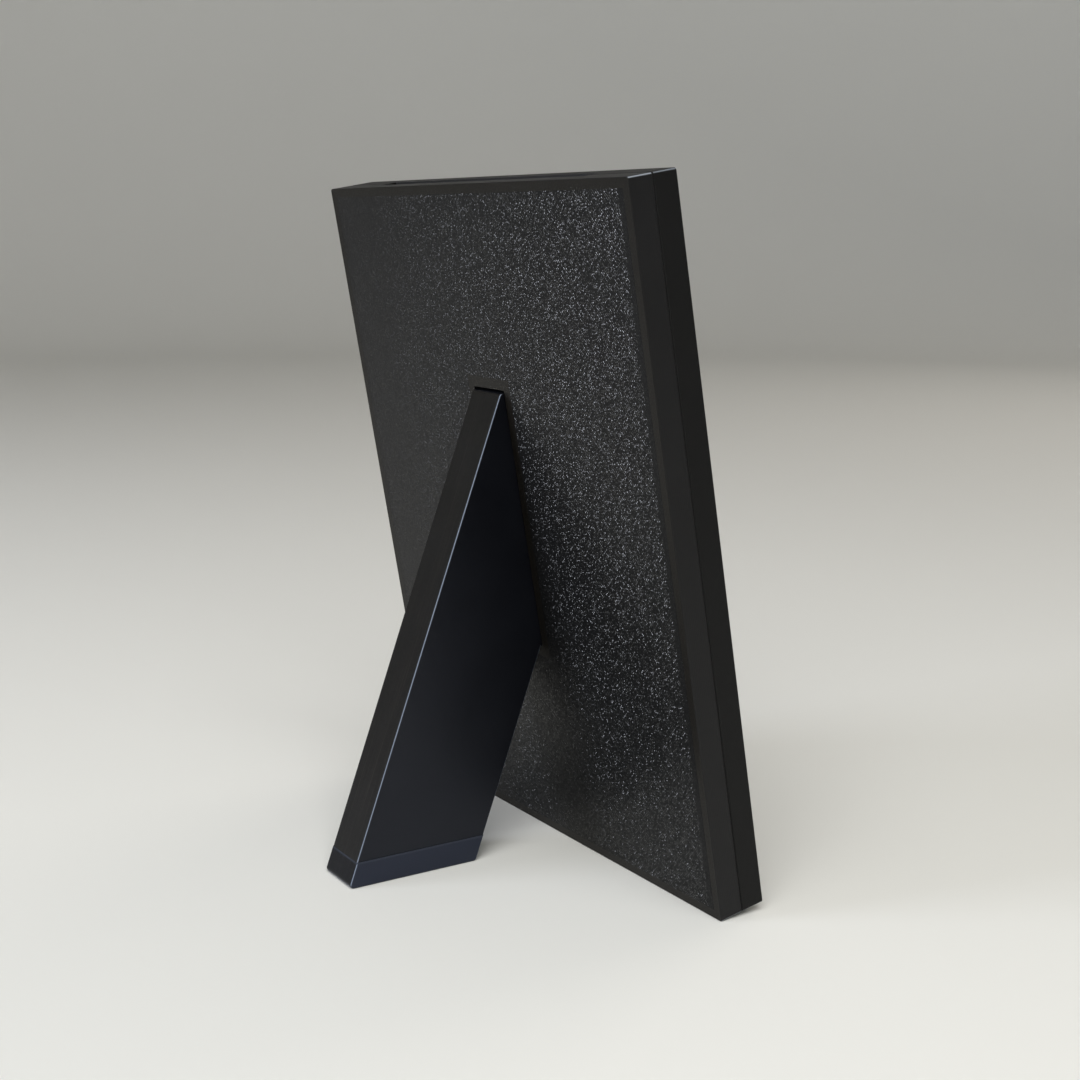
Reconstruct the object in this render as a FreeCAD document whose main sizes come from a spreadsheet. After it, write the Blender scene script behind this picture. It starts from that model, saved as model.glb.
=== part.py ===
import FreeCAD, Part
import math
import os
import Sketcher

# Printed photo frame that stands on its lower rear edge and on one leg plugged into its back.
# Lengths are in millimetres and angles in degrees. X runs across the frame, Y from its front to its back
# and Z up from the table. The origin is on the table, in the middle of the space that the frame takes.

doc = FreeCAD.newDocument("photo_frame")

# Driving sizes
DRIVING_SIZES = {
    "insert_width": 76.0,        # picture, glazing and card are 3 by 4 inch stock
    "insert_height": 102.0,
    "border": 19.0,              # from the edge of the picture to the edge of the frame
    "shell_depth": 5.2,          # one half of the frame, front to back
    "lean": 10.0,                # how far the frame leans back
    "glazing_thickness": 1.5,
    "photo_thickness": 0.3,
    "card_thickness": 1.4,
    "insert_play": 0.3,          # free room in the slot, front to back
    "side_play": 0.7,            # free room on each side of the insert
    "lip": 3.0,                  # how far the window's edge covers the glazing
    "window_bevel": 1.6,
    "corner_radius": 0.5,        # upright corners of the frame
    "seam_chamfer": 0.22,        # each half's share of the groove where they meet
    "rim_chamfer": 0.2,          # outer edges of the front face
    "back_rim_chamfer": 0.12,    # outer edges of the back face
    "leg_thickness": 11.0,
    "leg_strip": 27.5,           # width of the leg, square to its long edges
    "leg_angle": 30.0,           # between the leg and the back of the frame
    "leg_top": 98.6,             # from the frame's lower edge to the leg's upper end
    "leg_ledge": 0.7,            # short square step before the leg starts to slope
    "leg_top_radius": 1.0,       # between the step and the slope
    "leg_edge_radius": 0.35,
    "socket_floor": 0.85,        # wall left between the leg's socket and the picture
    "socket_side_gap": 0.3,
    "socket_top_gap": 0.5,
    "socket_low_gap": 0.3,
    "rib_width": 1.2,            # crush ribs that hold the leg in its socket
    "rib_inset": 9.0,            # from each end of the tenon to the rib near it
    "rib_setback": 0.5,          # from the mouth of the socket to the start of the ribs
    "foot_height": 5.3,
    "foot_proud": 0.15,          # how far the foot stands out from the leg on each side
    "foot_corner_radius": 0.9,
    "tongue_length": 14.0,       # tongue on the foot that plugs into the leg
    "tongue_thickness": 4.0,
    "tongue_rise": 5.0,
    "tongue_gap": 0.15,
    "magnet_diameter": 6.0,
    "magnet_thickness": 2.0,
    "magnet_fit": 0.05,          # around the magnet
    "magnet_recess": 0.1,        # below the joint face
    "peg_diameter": 4.0,
    "peg_rise": 1.5,
    "peg_gap": 0.15,
}

sheet = doc.addObject("Spreadsheet::Sheet", "Sizes")
for row, (alias, number) in enumerate(DRIVING_SIZES.items(), start=1):
    sheet.set(f"A{row}", alias)
    sheet.set(f"B{row}", str(number))
    sheet.setAlias(f"B{row}", alias)
doc.recompute()


# Sizes that follow from the driving ones
FRAME_WIDTH = "(Sizes.insert_width + 2 * Sizes.border)"
FRAME_HEIGHT = "(Sizes.insert_height + 2 * Sizes.border)"
POCKET_WIDTH = "(Sizes.insert_width + 2 * Sizes.side_play)"
STACK = "(Sizes.glazing_thickness + Sizes.photo_thickness + Sizes.card_thickness)"
POCKET_DEPTH = f"(({STACK} + Sizes.insert_play) / 2)"
WINDOW_WIDTH = "(Sizes.insert_width - 2 * Sizes.lip)"
WINDOW_LOW = "(Sizes.border + Sizes.lip)"
WINDOW_HIGH = "(Sizes.border + Sizes.insert_height - Sizes.lip)"
SOCKET_DEPTH = f"(Sizes.shell_depth - {POCKET_DEPTH} - Sizes.socket_floor)"
LEG_LOW = (
    "(Sizes.leg_top - (Sizes.leg_strip - Sizes.leg_ledge * cos(Sizes.leg_angle))"
    " / sin(Sizes.leg_angle))"
)
# The leg's slope from upright, and how far behind the frame's lower rear edge the foot reaches. The sharp
# corner that the leg's rear edge would make with the table is rounded off.
LEG_SLOPE = "(Sizes.leg_angle - Sizes.lean)"
SHARP_REACH = (
    "(Sizes.leg_ledge * cos(Sizes.lean) + Sizes.leg_top * sin(Sizes.lean)"
    " + (Sizes.leg_top * cos(Sizes.lean) - Sizes.leg_ledge * sin(Sizes.lean))"
    f" * tan({LEG_SLOPE}))"
)
ROUNDED_OFF = f"(Sizes.foot_corner_radius * ((1 + sin({LEG_SLOPE})) / cos({LEG_SLOPE}) - 1))"
FRONT_REACH = "(2 * Sizes.shell_depth * cos(Sizes.lean))"
REAR_EDGE = f"(({FRONT_REACH} - {SHARP_REACH} + {ROUNDED_OFF}) / 2)"
# Magnets and pegs sit in the middle of the side borders.
FIXING_X = f"(({FRAME_WIDTH} + {POCKET_WIDTH}) / 4)"
FIXING_LOW = "(Sizes.border / 2)"
FIXING_HIGH = f"({FRAME_HEIGHT} - Sizes.border / 2)"


def value(expression):
    """The number that an expression gives with the sheet's present sizes."""
    probe = sheet.evalExpression(expression)
    return float(probe.Value if hasattr(probe, "Value") else probe)


def new_body(label, leaning):
    """A body in the frame's own leaning axes, or in upright axes from the frame's lower rear edge."""
    body = doc.addObject("PartDesign::Body", label)
    body.Label = label
    angle = "-Sizes.lean" if leaning else "0"
    body.setExpression(
        "Placement",
        "create(<<placement>>; "
        f"create(<<vector>>; 0; {REAR_EDGE}; 0); "
        f"create(<<rotation>>; create(<<vector>>; 1; 0; 0); {angle}))",
    )
    return body


def new_sketch(body, name, plane_role, offset="0"):
    """A sketch on one of the body's origin planes, moved along its normal by the offset."""
    planes = [feature for feature in body.Origin.OriginFeatures if feature.Role == plane_role]
    sketch = body.newObject("Sketcher::SketchObject", name)
    sketch.AttachmentSupport = [(planes[0], "")]
    sketch.MapMode = "FlatFace"
    sketch.setExpression("AttachmentOffset.Base.z", offset)
    return sketch


def bind(sketch, constraint, expression):
    """Adds a dimension to a sketch and ties it to the sheet."""
    index = sketch.addConstraint(constraint)
    sketch.setExpression(f"Constraints[{index}]", expression)


def add_outline(sketch, corners):
    """A closed run of straight lines through the corners. Returns the number of its first line."""
    first = sketch.GeometryCount
    points = [FreeCAD.Vector(value(across), value(up), 0) for across, up in corners]
    count = len(points)
    for number in range(count):
        sketch.addGeometry(Part.LineSegment(points[number], points[(number + 1) % count]), False)
    for number in range(count):
        following = first + (number + 1) % count
        sketch.addConstraint(Sketcher.Constraint("Coincident", first + number, 2, following, 1))
    for number, (across, up) in enumerate(corners):
        line = first + number
        bind(sketch, Sketcher.Constraint("DistanceX", -1, 1, line, 1, points[number].x), across)
        bind(sketch, Sketcher.Constraint("DistanceY", -1, 1, line, 1, points[number].y), up)
    return first


def add_rectangle(sketch, width, low, high):
    """A rectangle centred on the upright axis."""
    left = f"(-{width} / 2)"
    right = f"({width} / 2)"
    return add_outline(sketch, [(left, low), (right, low), (right, high), (left, high)])


def add_circle(sketch, across, up, diameter):
    number = sketch.GeometryCount
    centre = FreeCAD.Vector(value(across), value(up), 0)
    sketch.addGeometry(Part.Circle(centre, FreeCAD.Vector(0, 0, 1), value(diameter) / 2), False)
    bind(sketch, Sketcher.Constraint("DistanceX", -1, 1, number, 3, centre.x), across)
    bind(sketch, Sketcher.Constraint("DistanceY", -1, 1, number, 3, centre.y), up)
    bind(sketch, Sketcher.Constraint("Diameter", number, value(diameter)), diameter)


def pad(body, sketch, name, length, middle=False):
    feature = body.newObject("PartDesign::Pad", name)
    feature.Profile = sketch
    feature.Midplane = middle
    feature.setExpression("Length", length)
    doc.recompute()
    return feature


def pocket(body, sketch, name, depth, reverse=False, middle=False):
    """Cuts a sketch out of the body, and makes sure that it took something away."""
    before = body.Tip.Shape.Volume
    feature = body.newObject("PartDesign::Pocket", name)
    feature.Profile = sketch
    feature.Midplane = middle
    feature.Reversed = reverse
    feature.setExpression("Length", depth)
    doc.recompute()
    if feature.Shape.isNull() or feature.Shape.Volume >= before:
        raise ValueError(f"{name} cuts nothing")
    return feature


def edges_that(body, wanted):
    """Names of the body's straight edges for which wanted(first end, second end) is true."""
    names = []
    for number, edge in enumerate(body.Tip.Shape.Edges, start=1):
        if edge.Curve.TypeId == "Part::GeomLine":
            ends = [vertex.Point for vertex in edge.Vertexes]
            if wanted(ends[0], ends[1]):
                names.append(f"Edge{number}")
    return names


def dress(body, kind, name, edge_names, property_name, amount):
    """A fillet or chamfer on the named edges of the body as it is so far."""
    if not edge_names:
        raise ValueError(f"{name} has no edges")
    base = body.Tip
    feature = body.newObject(f"PartDesign::{kind}", name)
    feature.Base = (base, edge_names)
    feature.setExpression(property_name, amount)
    doc.recompute()
    return feature


TOUCH = 1e-6


def same(first, second):
    return abs(first - second) < TOUCH


def at_depth(expression):
    """Test for an edge that lies wholly at one place along the frame's own depth."""
    place = value(expression)
    return lambda start, end: same(start.y, place) and same(end.y, place)


def on_rim(start, end):
    """Test for an edge on the outer outline of the frame, seen from the front."""
    half = value(FRAME_WIDTH) / 2
    high = value(FRAME_HEIGHT)
    on_side = same(abs(start.x), half) and same(start.x, end.x)
    on_end = same(start.z, end.z) and (same(start.z, 0) or same(start.z, high))
    return on_side or on_end


def is_corner(start, end):
    """Test for one of the frame's four corner edges, which run front to back."""
    half = value(FRAME_WIDTH) / 2
    high = value(FRAME_HEIGHT)
    across = same(abs(start.x), half) and same(start.x, end.x)
    return across and same(start.z, end.z) and (same(start.z, 0) or same(start.z, high))


CORNER_FIXINGS = [
    (side, height)
    for height in (FIXING_LOW, FIXING_HIGH)
    for side in (f"(-{FIXING_X})", FIXING_X)
]
SIDE_FIXINGS = [(side, f"({FRAME_HEIGHT} / 2)") for side in (f"(-{FIXING_X})", FIXING_X)]
MAGNET_SEAT = "(Sizes.magnet_thickness + Sizes.magnet_recess)"
MAGNET_HOLE = "(Sizes.magnet_diameter + 2 * Sizes.magnet_fit)"


def make_back_shell():
    """Rear half: half of the picture pocket, open at the top, and the leg's socket."""
    body = new_body("back_shell", leaning=True)
    plate = new_sketch(body, "back_plate", "XZ_Plane")
    add_rectangle(plate, FRAME_WIDTH, "0", FRAME_HEIGHT)
    pad(body, plate, "back_thickness", "Sizes.shell_depth")
    corners = edges_that(body, is_corner)
    dress(body, "Fillet", "back_corners", corners, "Radius", "Sizes.corner_radius")

    picture = new_sketch(body, "back_pocket", "XZ_Plane", "Sizes.shell_depth")
    add_rectangle(picture, POCKET_WIDTH, "Sizes.border", FRAME_HEIGHT)
    pocket(body, picture, "back_pocket_cut", POCKET_DEPTH)

    socket = new_sketch(body, "leg_socket", "XZ_Plane")
    socket_width = "(Sizes.leg_thickness + 2 * Sizes.socket_side_gap)"
    socket_low = f"({LEG_LOW} - Sizes.socket_low_gap)"
    socket_high = "(Sizes.leg_top + Sizes.socket_top_gap)"
    add_rectangle(socket, socket_width, socket_low, socket_high)
    pocket(body, socket, "leg_socket_cut", SOCKET_DEPTH, reverse=True)

    holes = new_sketch(body, "back_magnet_holes", "XZ_Plane", "Sizes.shell_depth")
    for across, up in CORNER_FIXINGS:
        add_circle(holes, across, up, MAGNET_HOLE)
    pocket(body, holes, "back_magnet_cut", MAGNET_SEAT)

    pegs = new_sketch(body, "locating_pegs", "XZ_Plane", "Sizes.shell_depth")
    for across, up in SIDE_FIXINGS:
        add_circle(pegs, across, up, "Sizes.peg_diameter")
    pad(body, pegs, "peg_rise", "Sizes.peg_rise")

    joint_face = at_depth("-Sizes.shell_depth")
    seam = edges_that(body, lambda a, b: joint_face(a, b) and on_rim(a, b))
    dress(body, "Chamfer", "back_seam_edge", seam, "Size", "Sizes.seam_chamfer")
    back_face = at_depth("0")
    rim = edges_that(body, lambda a, b: back_face(a, b) and on_rim(a, b))
    dress(body, "Chamfer", "back_rim", rim, "Size", "Sizes.back_rim_chamfer")
    return body


def make_front_bezel():
    """Front half: the window, and the other half of the picture pocket behind it."""
    body = new_body("front_bezel", leaning=True)
    plate = new_sketch(body, "bezel_plate", "XZ_Plane", "Sizes.shell_depth")
    add_rectangle(plate, FRAME_WIDTH, "0", FRAME_HEIGHT)
    pad(body, plate, "bezel_thickness", "Sizes.shell_depth")
    corners = edges_that(body, is_corner)
    dress(body, "Fillet", "bezel_corners", corners, "Radius", "Sizes.corner_radius")

    picture = new_sketch(body, "bezel_pocket", "XZ_Plane", "Sizes.shell_depth")
    add_rectangle(picture, POCKET_WIDTH, "Sizes.border", FRAME_HEIGHT)
    pocket(body, picture, "bezel_pocket_cut", POCKET_DEPTH, reverse=True)

    window = new_sketch(body, "window", "XZ_Plane", "Sizes.shell_depth")
    add_rectangle(window, WINDOW_WIDTH, WINDOW_LOW, WINDOW_HIGH)
    pocket(body, window, "window_cut", "Sizes.shell_depth", reverse=True)

    holes = new_sketch(body, "bezel_magnet_holes", "XZ_Plane", "Sizes.shell_depth")
    for across, up in CORNER_FIXINGS:
        add_circle(holes, across, up, MAGNET_HOLE)
    pocket(body, holes, "bezel_magnet_cut", MAGNET_SEAT, reverse=True)

    peg_holes = new_sketch(body, "peg_holes", "XZ_Plane", "Sizes.shell_depth")
    for across, up in SIDE_FIXINGS:
        add_circle(peg_holes, across, up, "(Sizes.peg_diameter + 2 * Sizes.peg_gap)")
    pocket(body, peg_holes, "peg_hole_cut", "(Sizes.peg_rise + Sizes.peg_gap)", reverse=True)

    joint_face = at_depth("-Sizes.shell_depth")
    seam = edges_that(body, lambda a, b: joint_face(a, b) and on_rim(a, b))
    dress(body, "Chamfer", "bezel_seam_edge", seam, "Size", "Sizes.seam_chamfer")
    front_face = at_depth("-2 * Sizes.shell_depth")
    rim = edges_that(body, lambda a, b: front_face(a, b) and on_rim(a, b))
    dress(body, "Chamfer", "front_rim", rim, "Size", "Sizes.rim_chamfer")
    sight = edges_that(body, lambda a, b: front_face(a, b) and not near_rim(a))
    dress(body, "Chamfer", "window_slope", sight, "Size", "Sizes.window_bevel")
    return body


def near_rim(point):
    """Whether a point lies outside the window, on the flat of the border."""
    beyond_side = abs(point.x) > value(WINDOW_WIDTH) / 2 + TOUCH
    return beyond_side or point.z < value(WINDOW_LOW) - TOUCH or point.z > value(WINDOW_HIGH) + TOUCH


def upright(depth, height):
    """A point given in the frame's leaning axes, as distances behind its lower rear edge and above it."""
    behind = f"({depth} * cos(Sizes.lean) + {height} * sin(Sizes.lean))"
    above = f"({height} * cos(Sizes.lean) - {depth} * sin(Sizes.lean))"
    return behind, above


def on_long_edge(start_depth, start_height, above):
    """The point of one of the leg's long edges that is the given distance above the table."""
    behind, high = upright(start_depth, start_height)
    return f"({behind} + ({high} - {above}) * tan({LEG_SLOPE}))", above


def make_easel_leg():
    """The slanted leg with its tenon, its crush ribs and the mortise for the foot."""
    body = new_body("easel_leg", leaning=False)
    side = new_sketch(body, "leg_side", "YZ_Plane")
    corners = [
        upright(f"(-{SOCKET_DEPTH})", "Sizes.leg_top"),
        upright(f"(-{SOCKET_DEPTH})", LEG_LOW),
        upright("0", LEG_LOW),
        on_long_edge("0", LEG_LOW, "Sizes.foot_height"),
        on_long_edge("Sizes.leg_ledge", "Sizes.leg_top", "Sizes.foot_height"),
        upright("Sizes.leg_ledge", "Sizes.leg_top"),
    ]
    add_outline(side, corners)
    pad(body, side, "leg_thickness", "Sizes.leg_thickness", middle=True)

    step_end = FreeCAD.Vector(0, *[value(part) for part in corners[-1]])
    top_edge = edges_that(body, lambda a, b: same(a.y, step_end.y) and same(b.y, step_end.y))
    dress(body, "Fillet", "leg_top_round", top_edge, "Radius", "Sizes.leg_top_radius")
    slope = math.radians(value(LEG_SLOPE))

    def is_long_edge(start, end):
        run = end - start
        sloping = same(abs(run.y) * math.cos(slope), abs(run.z) * math.sin(slope))
        return same(start.x, end.x) and not same(run.z, 0) and sloping

    long_edges = edges_that(body, is_long_edge)
    dress(body, "Fillet", "leg_long_edges", long_edges, "Radius", "Sizes.leg_edge_radius")

    mortise = new_sketch(body, "foot_mortise", "YZ_Plane")
    low = "Sizes.foot_height"
    high = "(Sizes.foot_height + Sizes.tongue_rise + Sizes.tongue_gap)"
    near, far = tongue_ends("Sizes.tongue_gap")
    add_outline(mortise, [(near, low), (far, low), (far, high), (near, high)])
    width = "(Sizes.tongue_thickness + 2 * Sizes.tongue_gap)"
    pocket(body, mortise, "foot_mortise_cut", width, middle=True)

    ribs = new_sketch(body, "crush_ribs", "YZ_Plane")
    for height in (f"({LEG_LOW} + Sizes.rib_inset)", "(Sizes.leg_top - Sizes.rib_inset)"):
        rib_low = f"({height} - Sizes.rib_width / 2)"
        rib_high = f"({height} + Sizes.rib_width / 2)"
        deep = f"(-{SOCKET_DEPTH})"
        shallow = "(-Sizes.rib_setback)"
        add_outline(
            ribs,
            [
                upright(deep, rib_low),
                upright(shallow, rib_low),
                upright(shallow, rib_high),
                upright(deep, rib_high),
            ],
        )
    rib_span = "(Sizes.leg_thickness + 2 * Sizes.socket_side_gap)"
    pad(body, ribs, "rib_span", rib_span, middle=True)
    return body


def tongue_ends(gap):
    """Front and rear ends of the foot's tongue, in the middle of the leg's lower end."""
    near = on_long_edge("0", LEG_LOW, "Sizes.foot_height")[0]
    far = on_long_edge("Sizes.leg_ledge", "Sizes.leg_top", "Sizes.foot_height")[0]
    middle = f"(({near} + {far}) / 2 - Sizes.tongue_rise / 2 * tan({LEG_SLOPE}))"
    half = f"(Sizes.tongue_length / 2 + {gap})"
    return f"({middle} - {half})", f"({middle} + {half})"


def make_leg_foot():
    """Soft foot on the leg's lower end, a little proud of it, with a tongue that plugs into the leg."""
    body = new_body("leg_foot", leaning=False)
    side = new_sketch(body, "foot_side", "YZ_Plane")
    top_near, top = on_long_edge("0", LEG_LOW, "Sizes.foot_height")
    top_far = on_long_edge("Sizes.leg_ledge", "Sizes.leg_top", "Sizes.foot_height")[0]
    low_near, floor = on_long_edge("0", LEG_LOW, "0")
    low_far = on_long_edge("Sizes.leg_ledge", "Sizes.leg_top", "0")[0]
    corners = [(top_near, top), (low_near, floor), (low_far, floor), (top_far, top)]
    add_outline(side, corners)
    width = "(Sizes.leg_thickness + 2 * Sizes.foot_proud)"
    pad(body, side, "foot_width", width, middle=True)

    ends_of_sole = edges_that(body, lambda a, b: same(a.z, 0) and same(b.z, 0) and same(a.y, b.y))
    dress(body, "Fillet", "foot_sole", ends_of_sole, "Radius", "Sizes.foot_corner_radius")
    sides = edges_that(body, lambda a, b: same(a.x, b.x) and not same(a.z, b.z))
    dress(body, "Fillet", "foot_sides", sides, "Radius", "Sizes.leg_edge_radius")

    tongue = new_sketch(body, "tongue_side", "YZ_Plane")
    high = "(Sizes.foot_height + Sizes.tongue_rise)"
    near, far = tongue_ends("0")
    add_outline(tongue, [(near, "Sizes.foot_height"), (far, "Sizes.foot_height"), (far, high), (near, high)])
    pad(body, tongue, "tongue_width", "Sizes.tongue_thickness", middle=True)
    return body


def make_sheet(label, front_of_back, thickness):
    """A flat sheet of the insert: how far its rear face is in front of the frame's back, and its thickness."""
    body = new_body(label, leaning=True)
    outline = new_sketch(body, f"{label}_outline", "XZ_Plane", front_of_back)
    add_rectangle(outline, "Sizes.insert_width", "Sizes.border", "(Sizes.border + Sizes.insert_height)")
    pad(body, outline, f"{label}_thickness", thickness)
    return body


def make_insert():
    """Card, picture and glazing, stacked against the back of the pocket."""
    card_at = f"(Sizes.shell_depth - {POCKET_DEPTH})"
    photo_at = f"({card_at} + Sizes.card_thickness)"
    glazing_at = f"({photo_at} + Sizes.photo_thickness)"
    return [
        make_sheet("backing_card", card_at, "Sizes.card_thickness"),
        make_sheet("photo_print", photo_at, "Sizes.photo_thickness"),
        make_sheet("glazing_sheet", glazing_at, "Sizes.glazing_thickness"),
    ]


def make_magnets(family, rear_face):
    """Four disc magnets, one in each corner, with their rear faces at one depth."""
    bodies = []
    for number, (across, up) in enumerate(CORNER_FIXINGS, start=1):
        body = new_body(f"{family}_{number}", leaning=True)
        outline = new_sketch(body, f"{family}_{number}_outline", "XZ_Plane", rear_face)
        add_circle(outline, across, up, "Sizes.magnet_diameter")
        pad(body, outline, f"{family}_{number}_thickness", "Sizes.magnet_thickness")
        bodies.append(body)
    return bodies


sub_parts = [make_back_shell(), make_front_bezel(), make_easel_leg(), make_leg_foot()]
sub_parts += make_insert()
sub_parts += make_magnets("back_magnet", f"(Sizes.shell_depth - {MAGNET_SEAT})")
sub_parts += make_magnets("bezel_magnet", "(Sizes.shell_depth + Sizes.magnet_recess)")
doc.recompute()

# Nothing is written unless every object is sound.
for item in doc.Objects:
    if "Invalid" in item.State or "Error" in item.State:
        raise ValueError(f"{item.Name} failed: {item.State}")
for sub_part in sub_parts:
    if sub_part.Shape.isNull() or not sub_part.Shape.isValid():
        raise ValueError(f"{sub_part.Label} has no valid shape")

os.makedirs("parts", exist_ok=True)
for sub_part in sub_parts:
    sub_part.Shape.exportStep(f"parts/{sub_part.Label}.step")
    print(f"{sub_part.Label}: {sub_part.Shape.Volume / 1000:.2f} cm3")
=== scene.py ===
# %% [markdown]
# # A printed photo frame that stands on one plugged-in leg
#
# The frame is two flat black halves, printed in plastic and held together by hidden magnets. A slot in the
# top edge takes the picture. One thick slanted leg plugs into the back and has a soft foot.
#
# The shapes come from a CAD model, so this script doesn't move or resize them. Blender's work is what CAD
# can't say: how each surface was made, and what that does to the light.

from collections import namedtuple
import math

import bmesh
import bpy
from mathutils import Matrix, Vector


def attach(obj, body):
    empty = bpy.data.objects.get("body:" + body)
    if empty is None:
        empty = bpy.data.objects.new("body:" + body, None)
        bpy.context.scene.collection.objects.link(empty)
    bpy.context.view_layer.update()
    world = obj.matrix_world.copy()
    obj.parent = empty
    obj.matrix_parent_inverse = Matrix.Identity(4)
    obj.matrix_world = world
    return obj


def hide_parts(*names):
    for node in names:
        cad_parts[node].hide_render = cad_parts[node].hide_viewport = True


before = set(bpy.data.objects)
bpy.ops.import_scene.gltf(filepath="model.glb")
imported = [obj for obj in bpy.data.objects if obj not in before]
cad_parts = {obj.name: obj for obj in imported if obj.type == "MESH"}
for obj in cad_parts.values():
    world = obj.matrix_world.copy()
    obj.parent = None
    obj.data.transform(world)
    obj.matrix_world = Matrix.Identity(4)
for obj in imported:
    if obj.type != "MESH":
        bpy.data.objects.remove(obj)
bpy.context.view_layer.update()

# %% [markdown]
# ## Sizes that the surfaces need
#
# Everything in Blender is in metres, but a print is easier to think about in millimetres. So the surface
# work is done in the frame's own axes and in millimetres: X across the frame, Y out of its back, and Z up
# the leaning panel. One matrix turns those into the row's axes, and its inverse brings a mesh or a texture
# back. These numbers repeat the CAD model's own sizes.

# %% Sizes of the frame, in millimetres and degrees
MM = 0.001
LEAN = math.radians(10)
LEG_SLOPE = math.radians(20)  # of the leg from upright
REAR_EDGE = -21.2409          # where the frame's lower rear edge stands, front to back
HALF_WIDTH = 57.0
HEIGHT = 140.0
SHELL_DEPTH = 5.2             # one half of the frame
WINDOW = (35.0, 22.0, 118.0)  # half width, low edge, high edge
WINDOW_BEVEL = 1.6
FRONT_RIM = 0.2               # chamfer round the front face
BACK_RIM = 0.12               # chamfer round the back face
SOCKET = (5.8, 44.51, 99.1)

PANEL = (
    Matrix.Scale(MM, 4)
    @ Matrix.Translation((0, REAR_EDGE, 0))
    @ Matrix.Rotation(-LEAN, 4, "X")
)
TO_PANEL = PANEL.inverted()
print("panel's lower rear edge stands at", [round(v, 5) for v in PANEL.translation])

# %% [markdown]
# ## Colours and nodes
#
# A colour picked from a picture is an sRGB value, made for the eye. Cycles works with linear light, so each
# colour goes through one function. Materials are made of many small nodes, and one helper adds a node, sets
# it up and links it. A value given to it is either a plain setting or the output of an earlier node.
#
# Two kinds of node have sockets that are best called by number. MapRange takes a value (0) from one range
# (1 to 2) to another (3 to 4, or else 0 to 1) and clamps it there. Mix takes a factor (0) and blends two
# colours (6 and 7), and its colour comes out at socket 2.

# %% The two helpers for materials
def linear(hex_colour):
    """An sRGB colour such as '#1a1a1b' as linear red, green, blue and alpha."""
    channels = [int(hex_colour[place:place + 2], 16) / 255 for place in (1, 3, 5)]
    return [c / 12.92 if c <= 0.04045 else ((c + 0.055) / 1.055) ** 2.4 for c in channels] + [1.0]


def add_node(material, kind, values=None, **properties):
    """Adds a shader node. Each value is set on the socket with that name or number, or linked to it."""
    node = material.node_tree.nodes.new("ShaderNode" + kind)
    for name, setting in properties.items():
        setattr(node, name, setting)
    for socket, value in (values or {}).items():
        if isinstance(value, bpy.types.NodeSocket):
            material.node_tree.links.new(value, node.inputs[socket])
        else:
            node.inputs[socket].default_value = value
    return node


# %% [markdown]
# ## The camera
#
# The camera was worked out from the corners of the frame and the leg: where it stood, how far it looks down
# and how long its lens is. Building its axes by hand, from a heading, a pitch and a small roll, keeps each
# of those numbers visible, where a look-at constraint would hide them.

# %% Camera
CAMERA_AT = Vector((-283.891, 165.675, 129.023)) * MM
HEADING = math.radians(122.6869)    # from +Y towards +X
LOOKS_DOWN = math.radians(10.7184)
ROLL = math.radians(0.2427)
LENS = 54.534                       # for a sensor 36 mm wide

ahead = Vector((math.sin(HEADING), math.cos(HEADING), 0))
right = Vector((math.cos(HEADING), -math.sin(HEADING), 0))
look = math.cos(LOOKS_DOWN) * ahead - math.sin(LOOKS_DOWN) * Vector((0, 0, 1))
up = right.cross(look)
camera_x = math.cos(ROLL) * right + math.sin(ROLL) * up
camera_y = math.cos(ROLL) * up - math.sin(ROLL) * right
camera = bpy.data.objects.new("camera", bpy.data.cameras.new("camera"))
turned = Matrix((camera_x, camera_y, -look)).transposed().to_4x4()
camera.matrix_world = Matrix.Translation(CAMERA_AT) @ turned
camera.data.lens = LENS
camera.data.sensor_width = 36
camera.data.clip_start = 0.01
bpy.context.scene.collection.objects.link(camera)
bpy.context.scene.camera = camera
print("camera is", round(CAMERA_AT.length, 3), "m from the middle of the table")

# %% [markdown]
# ## A studio floor that turns up into a wall
#
# Photographers stand small things on a sheet that curves up behind them, so that no line shows between floor
# and wall. Ours is turned on a lathe, so it looks the same from every side. Its profile is a flat disc, a
# quarter circle and a low wall. A black object shows mostly what it reflects, and here that is this sheet.

# %% Floor
FLOOR_RADIUS = 1.4
CURVE_RADIUS = 0.5
WALL_TOP = 1.5
CURVE_STEPS = 12
TURN_STEPS = 96

profile = [(0.0, 0.0), (FLOOR_RADIUS * 0.5, 0.0), (FLOOR_RADIUS, 0.0)]
for step in range(1, CURVE_STEPS + 1):
    angle = math.pi / 2 * step / CURVE_STEPS
    out = FLOOR_RADIUS + CURVE_RADIUS * math.sin(angle)
    profile.append((out, CURVE_RADIUS * (1 - math.cos(angle))))
profile.append((FLOOR_RADIUS + CURVE_RADIUS, WALL_TOP))

lathe = bmesh.new()
line = [lathe.verts.new((out, 0, high)) for out, high in profile]
edges = [lathe.edges.new(pair) for pair in zip(line, line[1:])]
bmesh.ops.spin(lathe, geom=line + edges, axis=(0, 0, 1), cent=(0, 0, 0), angle=math.tau, steps=TURN_STEPS)
bmesh.ops.remove_doubles(lathe, verts=lathe.verts, dist=1e-5)
bmesh.ops.recalc_face_normals(lathe, faces=lathe.faces)
floor_mesh = bpy.data.meshes.new("studio_floor")
lathe.to_mesh(floor_mesh)
lathe.free()
floor_mesh.shade_smooth()
floor = bpy.data.objects.new("studio_floor", floor_mesh)
bpy.context.scene.collection.objects.link(floor)

paper = bpy.data.materials.new("white_background_board")
paper.use_nodes = True
paper_shader = paper.node_tree.nodes["Principled BSDF"]
paper_shader.inputs["Base Color"].default_value = linear("#e6e7e3")
paper_shader.inputs["Roughness"].default_value = 0.6
paper_shader.inputs["Specular IOR Level"].default_value = 0.25
floor_mesh.materials.append(paper)
print("floor faces:", len(floor_mesh.polygons))

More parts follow.
